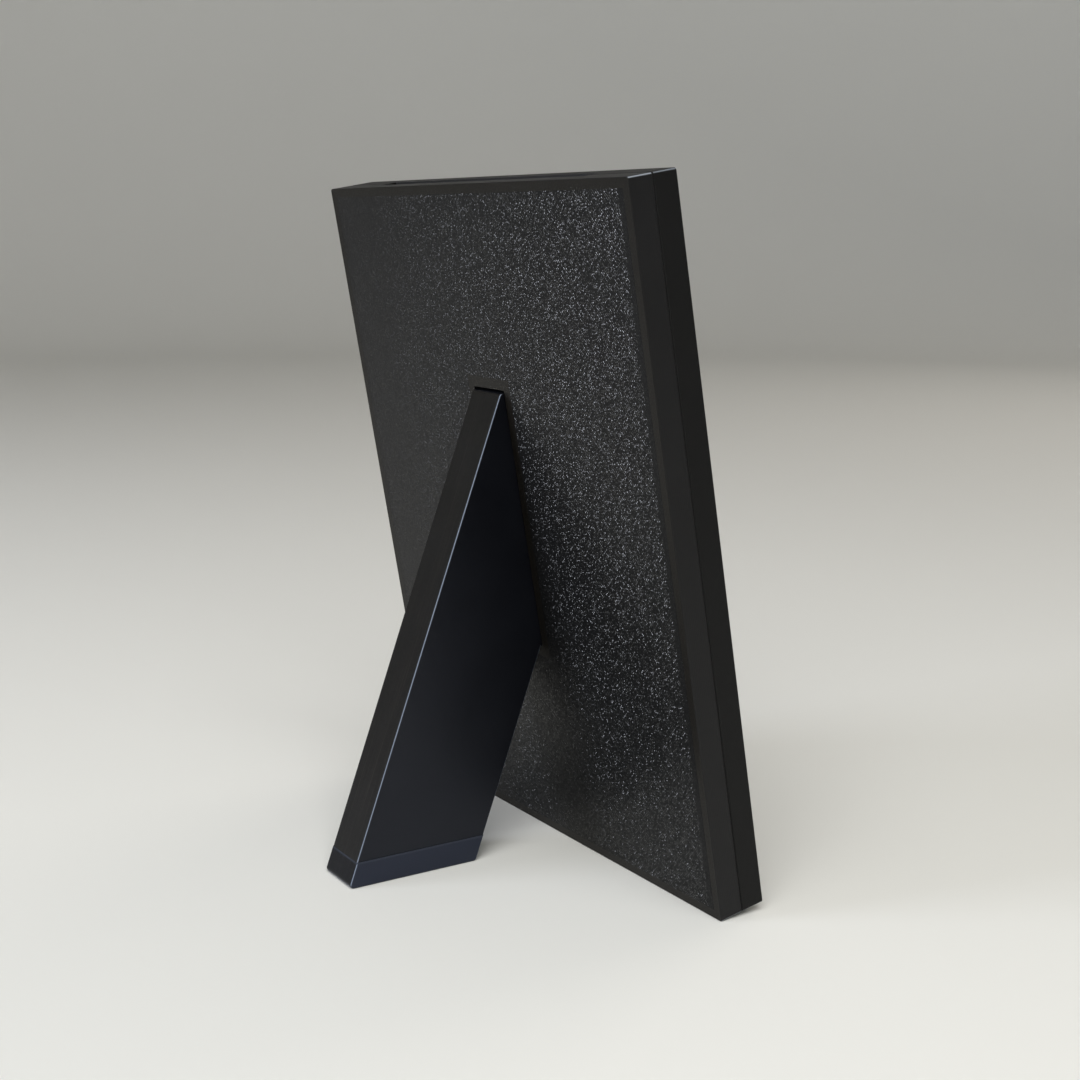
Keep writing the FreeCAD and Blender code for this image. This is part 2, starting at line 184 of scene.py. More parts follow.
# %% [markdown]
# ## Lamps
#
# One large soft lamp hangs over the camera and does most of the work. A low one stands far behind the frame,
# like a window on that side of a room. It draws the bright line along the leg's edge and makes the grain on
# the back sparkle. A weak third one keeps the front from going black. All are hidden from the camera, so that
# they don't show when the object is seen from another side.

# %% Lamps and world
def add_lamp(name, place, target, width, height, radiance, colour):
    """A rectangular lamp. Radiance 1 is as bright as white paper under this light."""
    lamp = bpy.data.lights.new(name, "AREA")
    lamp.shape = "RECTANGLE"
    lamp.size = width
    lamp.size_y = height
    lamp.energy = radiance * math.pi * width * height
    lamp.color = linear(colour)[:3]
    holder = bpy.data.objects.new(name, lamp)
    holder.location = place
    holder.rotation_euler = (Vector(target) - Vector(place)).to_track_quat("-Z", "Y").to_euler()
    holder.visible_camera = False
    bpy.context.scene.collection.objects.link(holder)
    print(name, "gives", round(lamp.energy, 2), "W")


add_lamp(
    "overhead_softbox", place=(-0.5, 0.35, 0.8), target=(-0.1, 0.08, 0),
    width=0.8, height=0.8, radiance=4.9, colour="#fffefc",
)
add_lamp(
    "low_window", place=(0.38, 1.14, 0.28), target=(0, 0, 0.07),
    width=0.45, height=0.5, radiance=13.0, colour="#eef2ff",
)
add_lamp(
    "front_fill", place=(0.25, -1.1, 0.8), target=(0, 0, 0.07),
    width=0.7, height=0.7, radiance=1.8, colour="#fff6ec",
)

world = bpy.data.worlds.new("studio")
bpy.context.scene.world = world
world.use_nodes = True
world.node_tree.nodes["Background"].inputs["Color"].default_value = linear("#fff1e4")
world.node_tree.nodes["Background"].inputs["Strength"].default_value = 0.1
bpy.context.scene.view_settings.view_transform = "Standard"

# %% [markdown]
# ## Where a texture sits
#
# Each pattern below is a trace of how the part was printed, so it has to line up with the frame and not with
# the room. A Mapping node of the Texture type undoes the lean and the scale. What comes out is the frame's
# own axes, in millimetres, so every scale further on can be one over a real size.

# %% Texture axes
def panel_axes(material):
    """The place on the frame in its own axes, in millimetres."""
    place = add_node(material, "TexCoord")
    turned = add_node(
        material, "Mapping",
        {"Vector": place.outputs["Object"], "Location": (0, REAR_EDGE * MM, 0),
         "Rotation": (-LEAN, 0, 0), "Scale": (MM, MM, MM)},
        vector_type="TEXTURE",
    )
    return turned.outputs["Vector"]


def new_material(name):
    material = bpy.data.materials.new(name)
    material.use_nodes = True
    return material, material.node_tree.nodes["Principled BSDF"]


# %% [markdown]
# ## Letting a pattern lean the normal
#
# A bump map compares heights one pixel apart, so it smears a grain that is about as small as a pixel. These
# patterns are that small. Instead, a random or striped vector is added to the surface's own normal and the
# sum is made one long again. Each grain then keeps its own sharp lean at any distance.

# %% Leaning the normal
def lean_normal(material, lean, amount):
    """The surface normal, leaned by a vector times an amount."""
    scaled = add_node(material, "VectorMath", {0: lean, "Scale": amount}, operation="SCALE")
    normal = add_node(material, "NewGeometry").outputs["Normal"]
    leaned = add_node(material, "VectorMath", {0: normal, 1: scaled.outputs["Vector"]}, operation="ADD")
    return add_node(material, "VectorMath", {0: leaned.outputs["Vector"]}, operation="NORMALIZE")


def lean_at_random(material, colour, amount):
    """The surface normal, leaned by a noise's colour, whose parts run from 0 to 1."""
    middle = add_node(material, "VectorMath", {0: colour, 1: (0.5, 0.5, 0.5)}, operation="SUBTRACT")
    return lean_normal(material, middle.outputs["Vector"], amount)


# %% [markdown]
# ## Dust
#
# Black plastic shows every speck. Random points are scattered by a Voronoi texture, and only the middles of
# a few of its cells are kept, as pale dots about 0.2 mm wide.

# %% Dust
DUST_SPACING = 4.5
DUST_REACH = 0.13  # from a speck's middle to where it has faded out
DUST = "#77797b"


def dust(material, axes, share):
    """1 on a few small specks, and 0 elsewhere. The share is the part of the cells that has one."""
    cells = add_node(material, "TexVoronoi", {"Vector": axes, "Scale": 1 / DUST_SPACING})
    near = add_node(
        material, "MapRange",
        {0: cells.outputs["Distance"], 1: DUST_REACH / DUST_SPACING, 2: 0.5 * DUST_REACH / DUST_SPACING},
    ).outputs[0]
    pick = add_node(material, "SeparateColor", {"Color": cells.outputs["Color"]})
    chosen = add_node(material, "Math", {0: pick.outputs["Red"], 1: share}, operation="LESS_THAN")
    return add_node(material, "Math", {0: near, 1: chosen.outputs[0]}, operation="MULTIPLY").outputs[0]


# %% [markdown]
# ## Black PLA, the side that lay on the print bed
#
# PLA is the common printing plastic. This side was squeezed against a grainy print bed, so it is flat lines
# at 45 degrees with fine grit pressed into them. Two things happen there at once. The plastic as a whole is
# satin and mirrors the table softly. And in the middle of each grain is a tiny glossy facet that leans its
# own way, so a few of them catch a lamp and sparkle. One layer can't do both. So the facets are the shader's
# own surface, and its coat is the satin skin, with a normal of its own. Voronoi cells are the grains, as wide
# as a printed line. The leans aren't quite random: each line is rounded at its shoulders, so a facet leans
# mostly across its line.
#
# A print bed is never quite level. The nozzle rode lower towards one side of this frame, so there the grit is
# crisp and the skin between the grains is thin. Towards the other side both fade into plain satin.

# %% Where the grains are and how they lean
LINE_WIDTH = 0.47
GRAIN_LENGTH = 0.37
GRAIN_DISORDER = 0.4                # 0 would be a regular grid
LINES_TURNED = math.radians(45)
SHOULDER_LEAN = (-0.2, 0.8)         # across the line, from the least to the most
GRIT_LEAN = 0.2                     # along the line, either way
LINE_ENDS = 53.8                    # from the middle to where the lines turn round
ENDS_FADE = 0.3                     # and over this width the grit fades out there
PLAIN_SIDE, CRISP_SIDE = 45, -30    # the grit fades in between these, across the frame
LEAST_GRIT = 0.1                    # what is left of it on the plain side
FACET_FULL, FACET_GONE = 0.2, 0.34  # how far from a grain's middle, in grains
DIAGONAL = math.sqrt(0.5)
ACROSS_LINES = (-DIAGONAL, DIAGONAL * math.sin(LEAN), DIAGONAL * math.cos(LEAN))
ALONG_LINES = (DIAGONAL, DIAGONAL * math.sin(LEAN), DIAGONAL * math.cos(LEAN))

bed_side, shader = new_material("black_pla_bed_side")
axes = panel_axes(bed_side)
along_lines = add_node(
    bed_side, "Mapping",
    {"Vector": axes, "Rotation": (0, LINES_TURNED, 0), "Scale": (LINE_WIDTH, 1, GRAIN_LENGTH)},
    vector_type="TEXTURE",
)
grains = add_node(
    bed_side, "TexVoronoi",
    {"Vector": along_lines.outputs["Vector"], "Scale": 1.0, "Randomness": GRAIN_DISORDER},
)
chance = add_node(bed_side, "SeparateColor", {"Color": grains.outputs["Color"]})
shoulder = add_node(
    bed_side, "MapRange", {0: chance.outputs["Red"], 1: 0, 2: 1, 3: SHOULDER_LEAN[0], 4: SHOULDER_LEAN[1]},
).outputs[0]
sideways = add_node(
    bed_side, "MapRange", {0: chance.outputs["Blue"], 1: 0, 2: 1, 3: -GRIT_LEAN, 4: GRIT_LEAN},
).outputs[0]
over_line = add_node(bed_side, "VectorMath", {0: ACROSS_LINES, "Scale": shoulder}, operation="SCALE")
along_line = add_node(bed_side, "VectorMath", {0: ALONG_LINES, "Scale": sideways}, operation="SCALE")
random_lean = add_node(
    bed_side, "VectorMath", {0: over_line.outputs["Vector"], 1: along_line.outputs["Vector"]},
    operation="ADD",
).outputs["Vector"]

place = add_node(bed_side, "SeparateXYZ", {"Vector": axes})
crisp = add_node(
    bed_side, "MapRange", {0: place.outputs["X"], 1: PLAIN_SIDE, 2: CRISP_SIDE, 3: LEAST_GRIT, 4: 1},
).outputs[0]
off_middle = add_node(bed_side, "Math", {0: place.outputs["X"]}, operation="ABSOLUTE")
inside = add_node(
    bed_side, "MapRange", {0: off_middle.outputs[0], 1: LINE_ENDS, 2: LINE_ENDS - ENDS_FADE},
).outputs[0]
middle = add_node(
    bed_side, "MapRange", {0: grains.outputs["Distance"], 1: FACET_GONE, 2: FACET_FULL},
).outputs[0]
pressed = add_node(bed_side, "Math", {0: middle, 1: inside}, operation="MULTIPLY").outputs[0]
facet_here = add_node(bed_side, "Math", {0: pressed, 1: crisp}, operation="MULTIPLY").outputs[0]
print("grains are", LINE_WIDTH, "mm wide, and the pattern takes", len(bed_side.node_tree.nodes), "nodes")

# %% The bed side's shader
BLACK_PLA = "#0d0d0e"
BLACK_PLA_WORN = "#131313"
# the facets' middles are painted this paler colour, a painted glint
GRAIN_GLINT = "#151516"
FACET_ROUGHNESS, FACET_IOR = 0.25, 1.45
SKIN_ROUGHNESS, SKIN_IOR = 0.36, 1.26
SKIN_WAVER = 0.1                    # how much of the facets' lean the skin follows
THINNEST_SKIN = 0.6                 # between the grains, on the crisp side
SKIN_FULL, SKIN_THIN = 0.2, 0.55    # how far from a grain's middle, in grains
PATCH_WIDTH = 12                    # of slightly paler plastic, in millimetres

lean_here = add_node(bed_side, "VectorMath", {0: random_lean, "Scale": middle}, operation="SCALE")
facet = lean_normal(bed_side, lean_here.outputs["Vector"], 1.0)
soft = lean_normal(bed_side, random_lean, SKIN_WAVER)
patches = add_node(bed_side, "TexNoise", {"Vector": axes, "Scale": 1 / PATCH_WIDTH, "Detail": 3.0})
tone = add_node(
    bed_side, "Mix",
    {0: patches.outputs["Fac"], 6: linear(BLACK_PLA), 7: linear(BLACK_PLA_WORN)}, data_type="RGBA",
).outputs[2]
# Where a facet is, the colour is painted paler too: a painted glint on the real grain, fading across the
# frame with the grit
glint_speckled = add_node(
    bed_side, "Mix", {0: facet_here, 6: tone, 7: linear(GRAIN_GLINT)}, data_type="RGBA",
).outputs[2]
gap = add_node(
    bed_side, "MapRange", {0: place.outputs["X"], 1: PLAIN_SIDE, 2: CRISP_SIDE, 3: 1.0, 4: THINNEST_SKIN},
).outputs[0]
skin = add_node(
    bed_side, "MapRange", {0: grains.outputs["Distance"], 1: SKIN_THIN, 2: SKIN_FULL, 3: gap, 4: 1.0},
).outputs[0]
bed_side.node_tree.links.new(glint_speckled, shader.inputs["Base Color"])
bed_side.node_tree.links.new(facet.outputs["Vector"], shader.inputs["Normal"])
bed_side.node_tree.links.new(facet_here, shader.inputs["Specular IOR Level"])
bed_side.node_tree.links.new(soft.outputs["Vector"], shader.inputs["Coat Normal"])
bed_side.node_tree.links.new(skin, shader.inputs["Coat Weight"])
shader.inputs["Roughness"].default_value = FACET_ROUGHNESS
shader.inputs["IOR"].default_value = FACET_IOR
shader.inputs["Coat Roughness"].default_value = SKIN_ROUGHNESS
shader.inputs["Coat IOR"].default_value = SKIN_IOR
print("bed side has", len(bed_side.node_tree.nodes), "nodes")

# %% [markdown]
# ## Black PLA, the outline loops on the bed side
#
# Before a printer fills a layer it draws its outline, here four lines round the frame and five round the
# leg's socket. They are laid slowly, so they come out smoother than the filling and don't sparkle.

# %% Outline loops
LOOP_GRIT = 0.35
LOOP_LEAN = 0.2

loops, shader = new_material("black_pla_outline_loops")
axes = panel_axes(loops)
grit = add_node(loops, "TexNoise", {"Vector": axes, "Scale": 1 / LOOP_GRIT, "Detail": 2.0})
facet = lean_at_random(loops, grit.outputs["Color"], LOOP_LEAN)
loops.node_tree.links.new(facet.outputs["Vector"], shader.inputs["Normal"])
# The loops are painted a little warmer than the filling: a painted warm reflection
shader.inputs["Base Color"].default_value = linear("#12100d")
shader.inputs["Roughness"].default_value = 0.33
shader.inputs["IOR"].default_value = 1.24
print("outline loops have", len(loops.node_tree.nodes), "nodes")

# %% [markdown]
# ## Black PLA, the printed walls
#
# The edges of the frame are stacks of 0.2 mm layers. Each bulges a little, which gives the wall a satin
# look with fine lines along the edge. At this distance a layer is as thin as a pixel, so the pattern is drawn
# at 0.4 mm. The Wave texture's bands are 20 units apart before its scale, which is where pi over 10 is from.
#
# The rounded edges are painted paler: a painted highlight where they catch the lamps, with a little rubbing
# from handling. A face looks two ways at once only in the middle of such an edge, so the product of how much
# it looks each way finds the place.

# %% Painted highlights on the rounded edges
OUT_OF_BACK = (0.0, math.cos(LEAN), -math.sin(LEAN))
UP_THE_PANEL = (0.0, math.sin(LEAN), math.cos(LEAN))
OUT_OF_LEG = (0.0, math.cos(LEG_SLOPE), math.sin(LEG_SLOPE))


def edge_highlight_mask(material, other):
    """A quarter in the middle of the edge between a side face and a face that looks the other way.

    It is 0 on both of those faces."""
    normal = add_node(material, "NewGeometry").outputs["Normal"]
    sideways = add_node(material, "VectorMath", {0: normal, 1: (1, 0, 0)}, operation="DOT_PRODUCT")
    otherwise = add_node(material, "VectorMath", {0: normal, 1: other}, operation="DOT_PRODUCT")
    both = add_node(
        material, "Math", {0: sideways.outputs["Value"], 1: otherwise.outputs["Value"]}, operation="MULTIPLY",
    ).outputs[0]
    return add_node(material, "Math", {0: both, 1: both}, operation="MULTIPLY").outputs[0]


# %% A printed wall
LAYER = 0.4
PLA_IOR = 1.4
WALL_WAVER = 0.06           # how far the layers and the grit lean the normal
WALL_GRIT = 0.8             # as wide as this, in millimetres
SATIN_PATCH = 15            # some patches are this wide and a little shinier
SATIN_SWING = 0.04          # by this much roughness, either way
HIGHLIGHT_STARTS, HIGHLIGHT_FULL = 0.1, 0.25  # of what edge_highlight_mask gives
DUSTY_SHARE = 0.14


def printed_wall(name, tones, shine, roughness, layers_across, layer_direction, highlight_colour, highlight_towards):
    """A printed wall whose layers are stacked along one of the frame's axes."""
    material, shader = new_material(name)
    axes = panel_axes(material)
    layers = add_node(
        material, "TexWave", {"Vector": axes, "Scale": math.pi / 10 / LAYER, "Distortion": 0.3},
        wave_type="BANDS", bands_direction=layers_across,
    )
    swing = add_node(
        material, "MapRange", {0: layers.outputs["Fac"], 1: 0, 2: 1, 3: -0.5, 4: 0.5},
    ).outputs[0]
    ridge = add_node(material, "VectorMath", {0: layer_direction, "Scale": swing}, operation="SCALE")
    grit = add_node(material, "TexNoise", {"Vector": axes, "Scale": 1 / WALL_GRIT, "Detail": 3.0})
    waver = add_node(
        material, "VectorMath", {0: grit.outputs["Color"], 1: (0.5, 0.5, 0.5)}, operation="SUBTRACT",
    )
    both = add_node(
        material, "VectorMath", {0: waver.outputs["Vector"], 1: ridge.outputs["Vector"]}, operation="ADD",
    )
    normal = lean_normal(material, both.outputs["Vector"], WALL_WAVER)
    material.node_tree.links.new(normal.outputs["Vector"], shader.inputs["Normal"])

    patches = add_node(material, "TexNoise", {"Vector": axes, "Scale": 1 / SATIN_PATCH, "Detail": 4.0})
    tone = add_node(
        material, "Mix",
        {0: patches.outputs["Fac"], 6: linear(tones[0]), 7: linear(tones[1])}, data_type="RGBA",
    ).outputs[2]
    dusty = add_node(
        material, "Mix", {0: dust(material, axes, DUSTY_SHARE), 6: tone, 7: linear(DUST)}, data_type="RGBA",
    ).outputs[2]
    # The rounded edges get a pale colour: a painted highlight, with a little rubbing from handling
    highlight_here = add_node(
        material, "MapRange", {0: edge_highlight_mask(material, highlight_towards), 1: HIGHLIGHT_STARTS, 2: HIGHLIGHT_FULL},
    ).outputs[0]
    highlighted = add_node(
        material, "Mix", {0: highlight_here, 6: dusty, 7: linear(highlight_colour)}, data_type="RGBA",
    ).outputs[2]
    material.node_tree.links.new(highlighted, shader.inputs["Base Color"])
    satin = add_node(
        material, "MapRange",
        {0: patches.outputs["Fac"], 1: 0.3, 2: 0.7, 3: roughness - SATIN_SWING, 4: roughness + SATIN_SWING},
    ).outputs[0]
    material.node_tree.links.new(satin, shader.inputs["Roughness"])
    shader.inputs["IOR"].default_value = PLA_IOR
    shader.inputs["Specular IOR Level"].default_value = shine
    return material


# %% The walls of the two halves
back_wall = printed_wall(
    "black_pla_back_wall", tones=("#0e0e0f", "#131315"), shine=0.37, roughness=0.48,
    layers_across="Y", layer_direction=OUT_OF_BACK, highlight_colour="#8b929b", highlight_towards=UP_THE_PANEL,
)
bezel_wall = printed_wall(
    "black_pla_bezel_wall", tones=("#0a0a0a", "#0f0f10"), shine=0.27, roughness=0.5,
    layers_across="Y", layer_direction=OUT_OF_BACK, highlight_colour="#6f757d", highlight_towards=UP_THE_PANEL,
)
print("walls have", len(back_wall.node_tree.nodes), "nodes")

# %% [markdown]
# ## Black PLA, the leg, and soft black TPU, the foot
#
# The leg was printed lying on its side. So its two sides are the smooth bottom and top of the print, and its
# rear face is a stack of layers, which is duller. It is handled most, so that face has faint scratches that
# run along it. They are noise that is stretched 25 mm long, and only its peaks are kept.
#
# TPU is a rubbery filament, and it keeps the leg from sliding. The leg's sides are painted darker and bluer
# than its rear face, and the foot's sides bluer than its rear: painted shade and a painted bluish reflection.
# The foot stands a hair proud of the leg, so its upper edge catches the light. That is a faint paler line.

# %% The leg's rear face
SCRATCH_WIDTH = 0.25
SCRATCH_LENGTH = 25.0
SCRATCH_STARTS, SCRATCH_FULL = 0.56, 0.72  # the part of the noise that is kept
REAR_STARTS, REAR_FULL = 0.8, 0.95         # how straight a face has to look out of the leg


def finish_leg(material, side_shine, rear_shine, painted_rear_colour, scratch_colour, strength):
    """Makes the rear face duller than the sides and gives it a colour of its own, apart from the painted
    shade and painted bluish reflection on the sides. Lays faint lengthwise scratches over it.
    """
    shader = material.node_tree.nodes["Principled BSDF"]
    normal = add_node(material, "NewGeometry").outputs["Normal"]
    outward = add_node(material, "VectorMath", {0: normal, 1: OUT_OF_LEG}, operation="DOT_PRODUCT")
    on_rear = add_node(
        material, "MapRange", {0: outward.outputs["Value"], 1: REAR_STARTS, 2: REAR_FULL},
    ).outputs[0]
    shine = add_node(
        material, "MapRange", {0: on_rear, 1: 0, 2: 1, 3: side_shine, 4: rear_shine},
    ).outputs[0]
    material.node_tree.links.new(shine, shader.inputs["Specular IOR Level"])

    place = add_node(material, "TexCoord")
    along_leg = add_node(
        material, "Mapping",
        {"Vector": place.outputs["Object"], "Rotation": (LEG_SLOPE, 0, 0),
         "Scale": (SCRATCH_WIDTH * MM, SCRATCH_WIDTH * MM, SCRATCH_LENGTH * MM)},
        vector_type="TEXTURE",
    )
    marks = add_node(
        material, "TexNoise", {"Vector": along_leg.outputs["Vector"], "Scale": 1.0, "Detail": 2.0},
    )
    peaks = add_node(
        material, "MapRange",
        {0: marks.outputs["Fac"], 1: SCRATCH_STARTS, 2: SCRATCH_FULL, 3: 0, 4: strength},
    ).outputs[0]
    here = add_node(material, "Math", {0: peaks, 1: on_rear}, operation="MULTIPLY").outputs[0]
    # The sides keep the tones they came with: painted shade and a painted bluish reflection, against the
    # rear's own colour
    under = shader.inputs["Base Color"].links[0].from_socket
    rear = add_node(
        material, "Mix", {0: on_rear, 6: under, 7: linear(painted_rear_colour)}, data_type="RGBA",
    ).outputs[2]
    scratched = add_node(
        material, "Mix", {0: here, 6: rear, 7: linear(scratch_colour)}, data_type="RGBA",
    ).outputs[2]
    material.node_tree.links.new(scratched, shader.inputs["Base Color"])


# %% Leg and foot
# These tones fall on the sides, painted darker and bluer than the rear faces: painted shade and a painted
# bluish reflection
leg_pla = printed_wall(
    "black_pla_leg", tones=("#040508", "#07080d"), shine=0.4, roughness=0.35,
    layers_across="X", layer_direction=(1.0, 0.0, 0.0), highlight_colour="#76808f", highlight_towards=OUT_OF_LEG,
)
finish_leg(
    leg_pla, side_shine=0.6, rear_shine=0.2,
    painted_rear_colour="#0f0e0c", scratch_colour="#3a3532", strength=0.3,
)
tpu = printed_wall(
    "soft_black_tpu", tones=("#0b0f18", "#101522"), shine=0.4, roughness=0.37,
    layers_across="X", layer_direction=(1.0, 0.0, 0.0), highlight_colour="#76808f", highlight_towards=OUT_OF_LEG,
)
finish_leg(
    tpu, side_shine=0.88, rear_shine=0.17,
    painted_rear_colour="#0c0c0d", scratch_colour="#2a2c33", strength=0.2,
)
leg_shader = leg_pla.node_tree.nodes["Principled BSDF"]
leg_shader.inputs["Specular Tint"].default_value = linear("#e4eaff")
foot_shader = tpu.node_tree.nodes["Principled BSDF"]
foot_shader.inputs["Specular Tint"].default_value = linear("#d4deff")
print("leg has", len(leg_pla.node_tree.nodes), "nodes")

# %% The pale line along the top of the foot
FOOT_TOP = 5.3              # above the table
PALE_LINE = 0.5             # how far the line reaches down from there

room = add_node(tpu, "TexCoord")
height = add_node(tpu, "SeparateXYZ", {"Vector": room.outputs["Object"]}).outputs["Z"]
upper_edge = add_node(
    tpu, "MapRange", {0: height, 1: (FOOT_TOP - PALE_LINE) * MM, 2: (FOOT_TOP - 0.3 * PALE_LINE) * MM},
).outputs[0]
under = foot_shader.inputs["Base Color"].links[0].from_socket
highlighted = add_node(tpu, "Mix", {0: upper_edge, 6: under, 7: linear("#262a33")}, data_type="RGBA").outputs[2]
tpu.node_tree.links.new(highlighted, foot_shader.inputs["Base Color"])
print("foot has", len(tpu.node_tree.nodes), "nodes")

# %% [markdown]
# ## Printed lines as real geometry
#
# The lines on the bed side could be a bump map. They are real grooves here, because light from the side then
# picks them out as it does on a print, and because the exported mesh keeps them. The way is to copy the CAD
# mesh, cut its flat face along each groove's bottom and both its shoulders, and push the bottoms in. The
# copy stands for the CAD node, so nothing changes outside that face.

# %% Cutting a flat face along parallel lines
JOINT_DEPTH = 0.03
JOINT_HALF = 0.055
LOOP_WIDTH = 0.44
ON_PLANE = 1e-3


def cut_along(mesh, faces, direction, distances):
    """Cuts flat faces at rising distances along a direction. Returns every piece."""
    direction = Vector(direction).normalized()
    waiting = list(faces)
    finished = []
    for distance in sorted(distances):
        edges = dict.fromkeys(edge for face in waiting for edge in face.edges)
        corners = dict.fromkeys(corner for face in waiting for corner in face.verts)
        result = bmesh.ops.bisect_plane(
            mesh, geom=waiting + list(edges) + list(corners), dist=1e-4,
            plane_co=direction * distance, plane_no=direction,
        )
        pieces = [item for item in result["geom"] if isinstance(item, bmesh.types.BMFace)]
        waiting = [face for face in pieces if face.calc_center_median().dot(direction) > distance]
        finished += [face for face in pieces if face.calc_center_median().dot(direction) <= distance]
    return finished + waiting


def joint_places(spacing, first, last):
    """Where to cut for each joint: its bottom and its two shoulders."""
    middles = [spacing * number for number in range(first, last + 1)]
    return [middle + side for middle in middles for side in (-JOINT_HALF, 0, JOINT_HALF)]


def joint_depth(distance, spacing):
    """How deep the groove is at a distance from the first joint."""
    off_joint = abs((distance + spacing / 2) % spacing - spacing / 2)
    return JOINT_DEPTH * max(0, 1 - off_joint / JOINT_HALF)


# %% [markdown]
# ## Flat faces that stay flat
#
# Smooth shading blends the normals of the faces that meet at a corner. On the round corners of the walls
# that is right. But a long line would shade as if it were bent, because one of its ends touches the slope of
# another groove. So on the walls each corner takes the mean of only those faces that look nearly the same
# way, and a larger face counts for more. On the printed face the slopes shade shallower than they are cut,
# because molten lines flow together.

# %% Corner normals
ON_FILLING, ON_LOOPS, ON_WALLS, ON_TOPS = range(4)  # the numbers of a printed half's materials
BLENDS_UP_TO = math.radians(25)
SLOPE_SHADES = 0.15                                 # part of a groove's slope that shows


def even_normals(mesh, outward):
    """Sets the normals of a printed half, whose printed face looks outward along the frame's Y."""
    flat = (PANEL.to_3x3() @ Vector((0, outward, 0))).normalized()
    around = [[] for corner in mesh.vertices]
    for face in mesh.polygons:
        for number in face.vertices:
            around[number].append(face)
    normals = []
    for face in mesh.polygons:
        for number in face.vertices:
            if face.material_index in (ON_FILLING, ON_LOOPS):
                normal = flat.lerp(face.normal, SLOPE_SHADES)
            else:
                normal = Vector((0, 0, 0))
                for other in around[number]:
                    if other.normal.angle(face.normal, 0) < BLENDS_UP_TO:
                        normal += other.normal * other.area
            normals.append(normal.normalized())
    mesh.normals_split_custom_set(normals)


# %% [markdown]
# ## Printing a face
#
# The outline loops run round the edge and round the hole, and meet in mitres at the corners. Each set of them
# is a ring: the box that it follows, the way that it grows from there, and how many loops it has. The face is
# first split along the rings' borders. Then each ring is cut along its loops, and the filling between the
# rings along its slanted lines.

# %% Rings of loops
Ring = namedtuple("Ring", "half_width low high grows loops")  # grows is -1 into the box, 1 out of it
SLANT = Vector((1, 0, -1)).normalized()                       # from one line of the filling to the next


def ring_width(ring):
    return ring.loops * LOOP_WIDTH


def into_ring(point, ring):
    """How far a point of the face is from the edge that a ring follows, the way that the ring grows."""
    return ring.grows * max(abs(point.x) - ring.half_width, ring.low - point.z, point.z - ring.high)


def flat_faces(mesh, depth):
    """The faces that lie flat at one depth."""
    return [f for f in mesh.faces if all(abs(v.co.y - depth) < ON_PLANE for v in f.verts)]


def split_off_rings(mesh, depth, rings):
    """Cuts along the rings' borders, and again beside each, for the shoulder of its last groove."""
    across = []
    upward = []
    for ring in rings:
        for reach in (ring_width(ring), ring_width(ring) + JOINT_HALF):
            out = ring.grows * reach
            across += [-ring.half_width - out, ring.half_width + out]
            upward += [ring.low - out, ring.high + out]
    columns = cut_along(mesh, flat_faces(mesh, depth), (1, 0, 0), across)
    cut_along(mesh, columns, (0, 0, 1), upward)


# %% Cutting the loops and the filling
def cut_loops(mesh, depth, ring):
    """Cuts the mitres at a ring's four corners, and then the loops along its four sides."""
    def faces_of_ring():
        flat = flat_faces(mesh, depth)
        return [f for f in flat if into_ring(f.calc_center_median(), ring) < ring_width(ring)]

    for side in (-1, 1):
        for corner_z, slope in ((ring.low, -1), (ring.high, 1)):
            # The mitre at this corner is square to the direction (side, -slope)
            direction = Vector((side, 0, -slope)).normalized()
            through = Vector((side * ring.half_width, 0, corner_z)).dot(direction)
            cut_along(mesh, faces_of_ring(), direction, [through])

    joints = joint_places(LOOP_WIDTH, 1, ring.loops)[:-1]
    sides = (
        (Vector((1, 0, 0)), ring.half_width), (Vector((-1, 0, 0)), ring.half_width),
        (Vector((0, 0, 1)), ring.high), (Vector((0, 0, -1)), -ring.low),
    )
    for direction, edge in sides:
        mine = []
        for face in faces_of_ring():
            centre = face.calc_center_median()
            from_side = ring.grows * (centre.dot(direction) - edge)
            if abs(from_side - into_ring(centre, ring)) < ON_PLANE:
                mine.append(face)
        cut_along(mesh, mine, direction, [edge + ring.grows * place for place in joints])


def cut_filling(mesh, depth, rings):
    """Cuts what lies between the rings along lines at 45 degrees."""
    filling = []
    for face in flat_faces(mesh, depth):
        centre = face.calc_center_median()
        if all(into_ring(centre, ring) > ring_width(ring) + JOINT_HALF for ring in rings):
            filling.append(face)
    furthest = math.ceil((HALF_WIDTH + HEIGHT) / math.sqrt(2) / LINE_WIDTH)
    cut_along(mesh, filling, SLANT, joint_places(LINE_WIDTH, -furthest, furthest))


# %% Depth and finish of each place
LOOKS_OUT = 0.7           # the least cosine of a face's slant on the printed face
LOOKS_STRAIGHT_OUT = 0.9  # and on a face that was printed last


def groove_depth(point, rings):
    """How deep the groove is at a point of the face, and 0 between grooves."""
    for ring in rings:
        place = into_ring(point, ring)
        if place < ring_width(ring) + ON_PLANE:
            return joint_depth(place, LOOP_WIDTH) if place > LOOP_WIDTH / 2 else 0
    return joint_depth(point.dot(SLANT), LINE_WIDTH)


def finish_number(face, depth, rings):
    """The number of the material that a face gets."""
    centre = face.calc_center_median()
    if abs(centre.y - depth) < 2 * JOINT_DEPTH and abs(face.normal.y) > LOOKS_OUT:
        in_loops = any(into_ring(centre, ring) < ring_width(ring) for ring in rings)
        return ON_LOOPS if in_loops else ON_FILLING
    return ON_TOPS if abs(face.normal.y) > LOOKS_STRAIGHT_OUT else ON_WALLS


